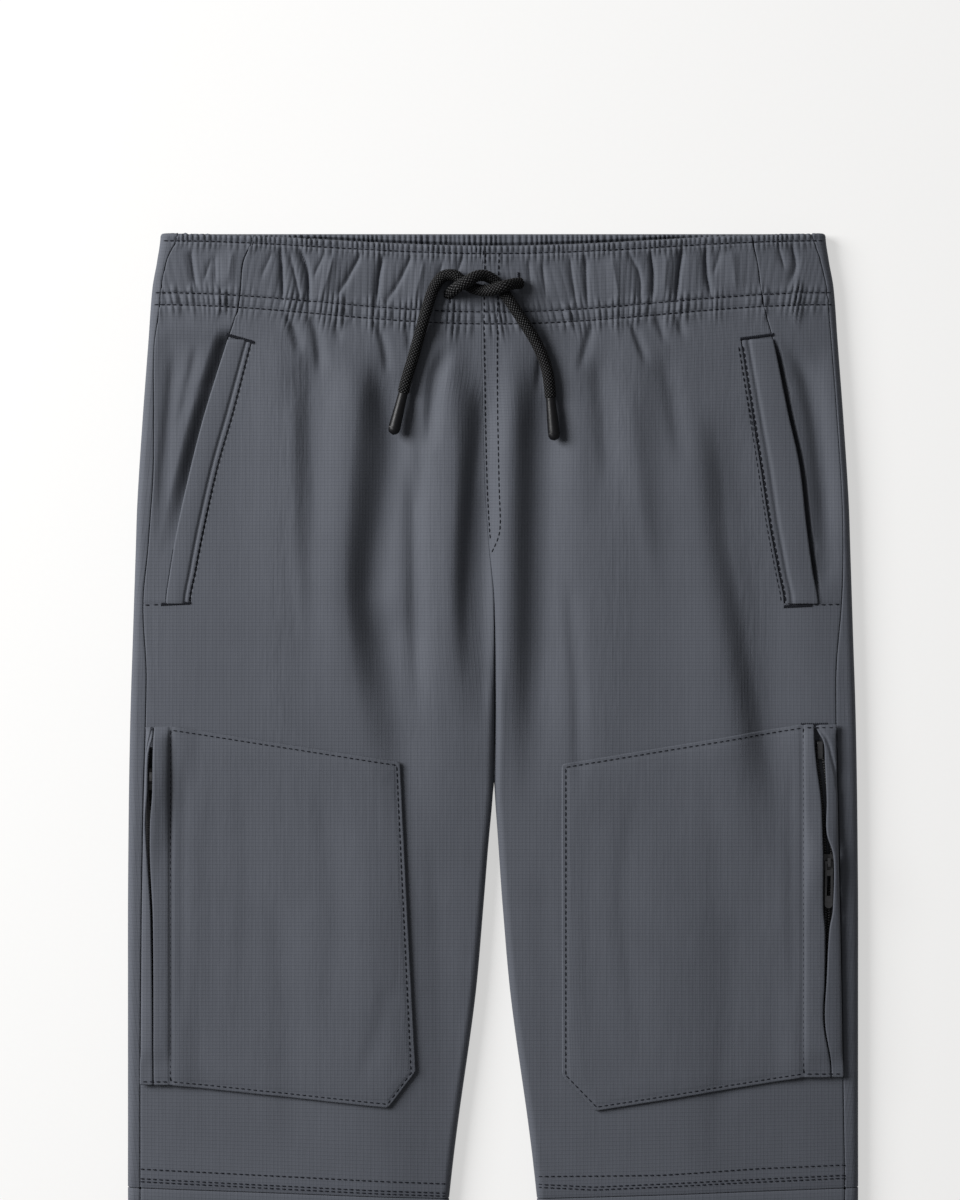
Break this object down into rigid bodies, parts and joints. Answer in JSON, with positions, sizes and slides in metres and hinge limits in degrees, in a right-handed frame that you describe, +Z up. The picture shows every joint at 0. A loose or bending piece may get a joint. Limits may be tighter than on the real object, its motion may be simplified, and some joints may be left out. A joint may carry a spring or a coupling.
{
  "type": "utility joggers",
  "caption": "Children's pull-on joggers laid flat, with a gathered drawcord waist, slanted hand pockets, zipped cargo pockets and elastic cuffs.",
  "frame": {"origin": "on the surface that the garment lies on, under the middle of its box", "axes": "+X across the garment towards the wearer's left, +Y along it towards the waist, +Z up from the surface that it lies on"},
  "size_m": [0.325, 0.88, 0.0187],
  "materials": {
    "ripstop": "matte slate-grey ripstop, stone soft",
    "zip_tape": "black woven tape and nylon coil",
    "zip_metal": "black enamel, slightly glossy",
    "cord_braid": "black round braid, matte",
    "cord_tip": "black moulded tip, satin"
  },
  "bodies": {
    "trousers": {"front_right": "ripstop", "back_right": "ripstop", "side_facing_right": "ripstop", "pocket_welt_right": "ripstop", "cargo_pocket_right": "ripstop", "cargo_lip_right": "ripstop", "lower_front_right": "ripstop", "lower_back_right": "ripstop", "cuff_right": "ripstop", "front_left": "ripstop", "back_left": "ripstop", "side_facing_left": "ripstop", "pocket_welt_left": "ripstop", "cargo_pocket_left": "ripstop", "cargo_lip_left": "ripstop", "lower_front_left": "ripstop", "lower_back_left": "ripstop", "cuff_left": "ripstop", "zip_inner_right": "zip_tape", "zip_outer_right": "zip_tape", "zip_inner_left": "zip_tape", "zip_outer_left": "zip_tape", "zip_slider_right": "zip_metal", "zip_pull_right": "zip_metal", "zip_slider_left": "zip_metal", "drawcord_right": "cord_braid", "drawcord_left": "cord_braid", "cord_tip_right": "cord_tip", "cord_tip_left": "cord_tip"},
    "pull_tab": {"zip_pull_left": "zip_metal"}
  },
  "joints": [
    {"name": "pull_tab_hinge", "type": "hinge", "parent": "trousers", "child": "pull_tab", "pos_m": [0.14866, 0.161, 0.01137], "axis": [-0.9995, 0, 0.0321], "range_deg": [0, 150]}
  ]
}
